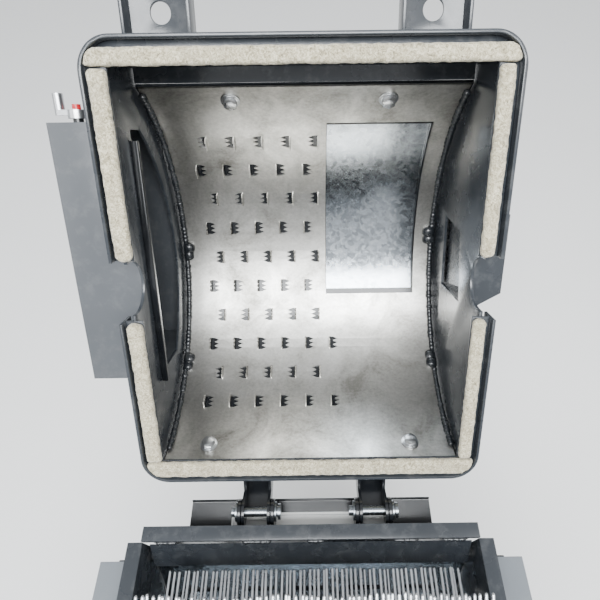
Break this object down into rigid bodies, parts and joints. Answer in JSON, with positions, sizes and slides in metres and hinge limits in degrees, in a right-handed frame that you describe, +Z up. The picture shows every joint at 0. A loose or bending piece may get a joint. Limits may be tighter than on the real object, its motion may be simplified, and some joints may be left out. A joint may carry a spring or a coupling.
{
  "type": "drum huller with hinged toothed hood",
  "caption": "Floor-standing drum huller: wire-rod brush drum in a steel housing, hinged hood with toothed curved liner, felt seal, feed hopper, side duct and belt drive.",
  "frame": {"origin": "on the floor, at the middle of the four anchor holes, below the middle of the drum shaft's crossing with the hood", "axes": "+Z up, +Y to the rear where the hood hinges, +X along the drum shaft towards the belt drive"},
  "size_m": [0.5462, 1.0211, 1.1072],
  "materials": {
    "paint": "slate semi-gloss paint on folded sheet steel",
    "dark_paint": "near-black semi-gloss paint on tube and bar",
    "zinc": "bright zinc-plated steel",
    "liner": "satin zinc-coated sheet, cloudy",
    "galvanised": "galvanised sheet with a fine spangle",
    "rod_steel": "bright drawn spring-steel rod",
    "felt": "warm grey wool felt tape",
    "black_rubber": "black rubber",
    "black_plastic": "black moulded plastic",
    "motor_alu": "painted finned aluminium casting",
    "iron": "painted cast iron",
    "label": "plain white laminated plate",
    "red_plastic": "red moulded plastic"
  },
  "bodies": {
    "stand": {"housing_sides": "paint", "back_rail": "paint", "front_rail": "paint", "back_deflector": "paint", "end_walls": "paint", "concave_screen": "galvanised", "husk_chute": "paint", "side_beams": "paint", "stand_legs": "dark_paint", "stand_braces": "dark_paint", "floor_plates": "dark_paint", "rear_shelf": "dark_paint", "label_plate": "label", "hinge_ears": "dark_paint", "hinge_pins": "zinc", "hinge_washers": "zinc", "lid_buffers": "black_rubber", "bearings": "iron", "bearing_bolts": "zinc", "shaft_shields": "paint", "catch_posts": "zinc", "motor_plate": "dark_paint", "motor_body": "motor_alu", "motor_fan_cover": "black_plastic", "terminal_box": "black_plastic", "drive_belt": "black_rubber", "belt_guard": "paint", "guard_bolts": "zinc"},
    "hood": {"rim_band": "paint", "rim_flange": "paint", "felt_seal": "felt", "hood_side_left": "paint", "hood_side_right": "paint", "hood_front_wall": "paint", "hood_rear_wall": "paint", "hood_shell": "paint", "tooth_liner": "liner", "liner_bolts": "zinc", "hood_welds": "dark_paint", "hinge_arms": "dark_paint", "catch_channels": "paint", "outlet_duct": "paint", "slot_bar": "dark_paint", "air_box": "paint", "hopper": "paint", "gate_guides": "paint"},
    "drum": {"drum_shaft": "zinc", "drum_tube": "dark_paint", "brush_bars": "rod_steel", "drum_pulley": "iron"},
    "motor_rotor": {"motor_shaft": "zinc", "motor_pulley": "iron"},
    "feed_gate": {"feed_gate": "galvanised", "gate_knob": "black_plastic"},
    "air_slide": {"air_slide": "galvanised"},
    "duct_flap": {"duct_flap": "paint", "flap_lever": "zinc", "spindle_cap": "red_plastic"}
  },
  "joints": [
    {"name": "hood_hinge", "type": "hinge", "parent": "stand", "child": "hood", "pos_m": [0, 0.242, 0.7145], "axis": [1, 0, 0], "range_deg": [0, 126]},
    {"name": "drum_spin", "type": "hinge", "parent": "stand", "child": "drum", "pos_m": [0, 0, 0.72], "axis": [1, 0, 0], "continuous": true},
    {"name": "motor_spin", "type": "hinge", "parent": "stand", "child": "motor_rotor", "pos_m": [0, 0, 0.25], "axis": [1, 0, 0], "continuous": true},
    {"name": "feed_gate_slide", "type": "hinge", "parent": "hood", "child": "feed_gate", "pos_m": [0, 0.38869, 0.90705], "axis": [-1, 0, 0], "range_deg": [0, 41]},
    {"name": "air_slide_lift", "type": "slide", "parent": "hood", "child": "air_slide", "axis": [0, 0.809, -0.5878], "range_m": [0, 0.06]},
    {"name": "duct_flap_swing", "type": "hinge", "parent": "hood", "child": "duct_flap", "pos_m": [-0.222, 0.46947, 0.86937], "axis": [0, 0.5878, 0.809], "range_deg": [0, 80]}
  ],
  "couplings": [
    {"joint": "motor_spin", "follows": "drum_spin", "ratio": 2}
  ]
}
